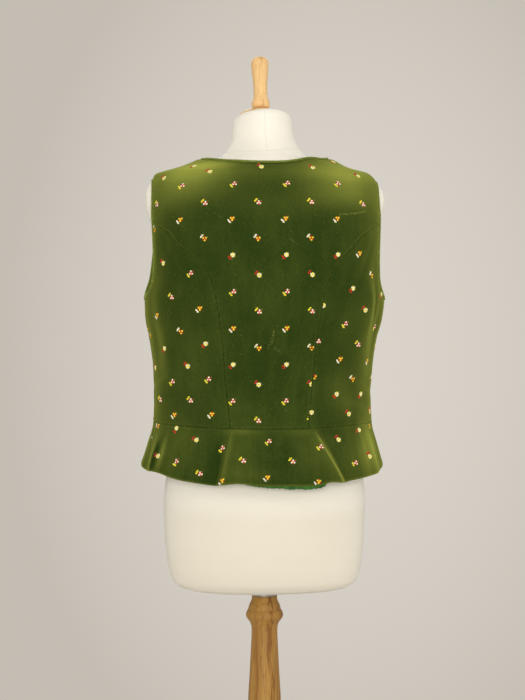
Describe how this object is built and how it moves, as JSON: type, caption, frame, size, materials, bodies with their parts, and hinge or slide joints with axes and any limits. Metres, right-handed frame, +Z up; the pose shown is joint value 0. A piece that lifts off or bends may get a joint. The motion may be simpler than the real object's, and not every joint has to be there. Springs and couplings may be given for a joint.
{
  "type": "embroidered velvet waistcoat on a dress form",
  "caption": "Sleeveless embroidered velvet waistcoat with a fluted back peplum, worn on a limbless jersey dress form on a turned wooden stand.",
  "frame": {"origin": "centre of the bounding box's bottom face: on the floor, under the post's axis", "axes": "+Z up; the garment's front faces -Y and its back +Y, so the wearer's left is +X"},
  "size_m": [0.39, 0.39, 1.5359],
  "materials": {
    "velvet": "moss-green cotton velvet with a small embroidered flower sprig",
    "piping": "moss-green cloth-covered cord",
    "covered_button": "moss-green cloth over a domed button",
    "green_lining": "soft bright-green lining satin",
    "jersey": "matte cream cotton jersey",
    "light_wood": "satin light beech",
    "collar_metal": "dull grey metal",
    "honey_wood": "satin honey-stained beech"
  },
  "bodies": {
    "root": {"back_centre": "velvet", "back_side_left": "velvet", "back_side_right": "velvet", "back_peplum": "velvet", "front_left": "velvet", "front_right": "velvet", "neck_piping": "piping", "armhole_piping_left": "piping", "armhole_piping_right": "piping", "button_1": "covered_button", "button_2": "covered_button", "button_3": "covered_button", "button_4": "covered_button", "button_5": "covered_button", "lining_hem": "green_lining", "form_torso": "jersey", "neck_cap": "light_wood", "neck_knob": "light_wood", "post_collar": "collar_metal", "stand_post": "honey_wood", "stand_base": "honey_wood"}
  },
  "joints": []
}
